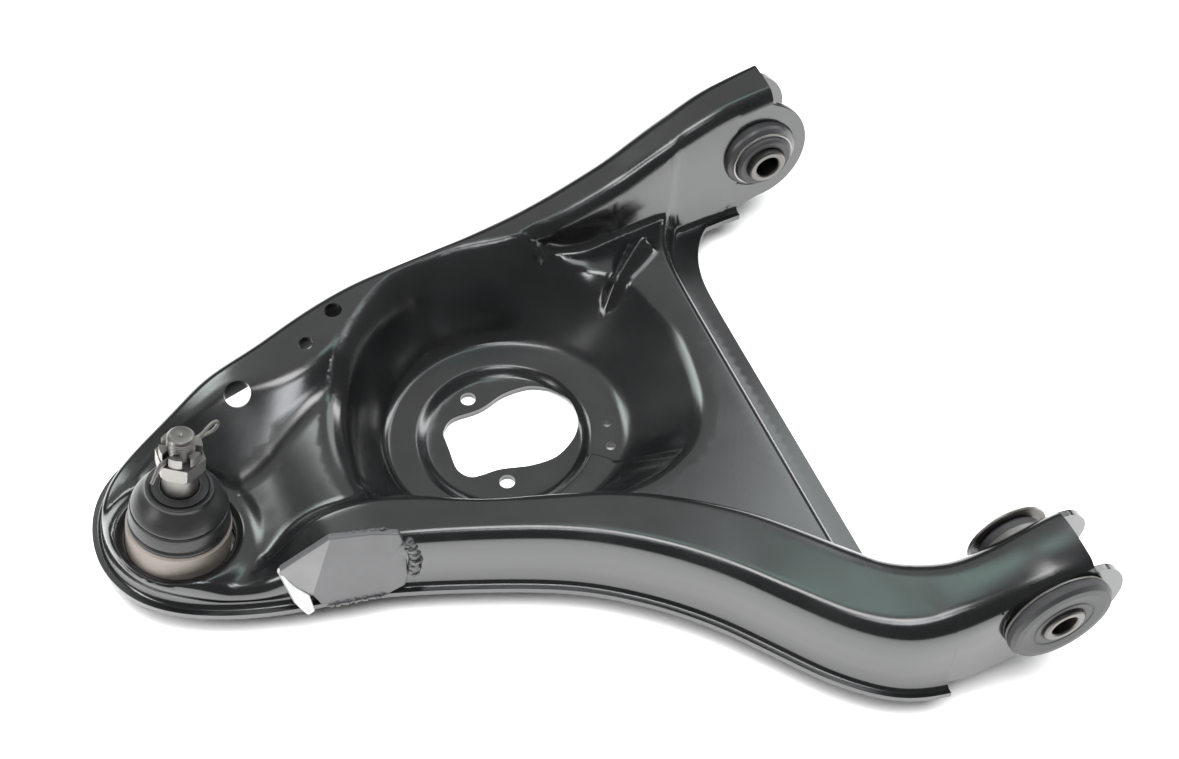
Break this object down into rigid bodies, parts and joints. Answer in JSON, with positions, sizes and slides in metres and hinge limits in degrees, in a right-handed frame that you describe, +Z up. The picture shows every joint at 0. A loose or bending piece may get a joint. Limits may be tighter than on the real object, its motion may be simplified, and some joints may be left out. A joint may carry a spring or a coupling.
{
  "type": "suspension control arm",
  "caption": "Stamped steel front lower control arm with spring pocket, pressed-in pivot bushings, a ball joint with castle nut and split pin, and a welded steering stop.",
  "frame": {"origin": "centre of the rear pivot bushing's bolt bore", "axes": "+Y along the pivot axis toward the front bushing, +X inboard toward the frame, -X outboard toward the ball joint, +Z up"},
  "size_m": [0.468, 0.394, 0.1098],
  "materials": {
    "black_coat": "gloss black electrocoat",
    "stop_steel": "satin, thin black coat over sheared plate",
    "weld_steel": "coated weld bead",
    "bright_steel": "turned",
    "dark_steel": "phosphated",
    "plated_steel": "zinc plated",
    "bushing_rubber": "matte",
    "boot_rubber": "satin",
    "bearing_plastic": "moulded",
    "spring_steel": "blued"
  },
  "bodies": {
    "arm": {"arm_nose": "black_coat", "arm_rear_outer": "black_coat", "arm_rear_inner": "black_coat", "arm_front_outer": "black_coat", "arm_front_inner": "black_coat", "arm_leg_ends": "black_coat", "steering_stop": "stop_steel", "stop_weld": "weld_steel", "front_bushing_shell": "plated_steel", "front_bushing_rubber": "bushing_rubber", "rear_bushing_shell": "dark_steel", "rear_bushing_rubber": "bushing_rubber", "ball_housing": "plated_steel", "bearing_cup": "bearing_plastic", "bearing_seat": "bearing_plastic", "preload_spring": "spring_steel", "housing_cover": "dark_steel", "boot_base_ring": "dark_steel", "grease_fitting": "plated_steel"},
    "front_sleeve": {"front_inner_sleeve": "bright_steel"},
    "rear_sleeve": {"rear_inner_sleeve": "bright_steel", "rear_end_washer": "plated_steel"},
    "boot_body": {"boot": "boot_rubber"},
    "boot_lip": {"boot_lip_ring": "boot_rubber"},
    "stud": {"ball_stud": "bright_steel", "castle_nut": "plated_steel", "cotter_pin": "plated_steel"}
  },
  "joints": [
    {"name": "front_bushing_twist", "type": "hinge", "parent": "arm", "child": "front_sleeve", "pos_m": [0, 0.334, 0], "axis": [0, 1, 0], "range_deg": [-30, 30], "stiffness_Nm_per_rad": 8},
    {"name": "rear_bushing_twist", "type": "hinge", "parent": "arm", "child": "rear_sleeve", "pos_m": [0, 0, 0], "axis": [0, 1, 0], "range_deg": [-30, 30], "stiffness_Nm_per_rad": 8},
    {"name": "ball_tilt_fore_aft", "type": "hinge", "parent": "arm", "child": "boot_body", "pos_m": [-0.38692, 0.20211, -0.02986], "axis": [0.9842, 0, -0.1771], "range_deg": [-14, 14], "deforming": ["boot"]},
    {"name": "ball_tilt_in_out", "type": "hinge", "parent": "boot_body", "child": "boot_lip", "pos_m": [-0.38692, 0.20211, -0.02986], "axis": [-0.0086, 0.9988, -0.0481], "range_deg": [-14, 14]},
    {"name": "ball_spin", "type": "hinge", "parent": "boot_lip", "child": "stud", "pos_m": [-0.38692, 0.20211, -0.02986], "axis": [0.1769, 0.0489, 0.983], "continuous": true}
  ]
}
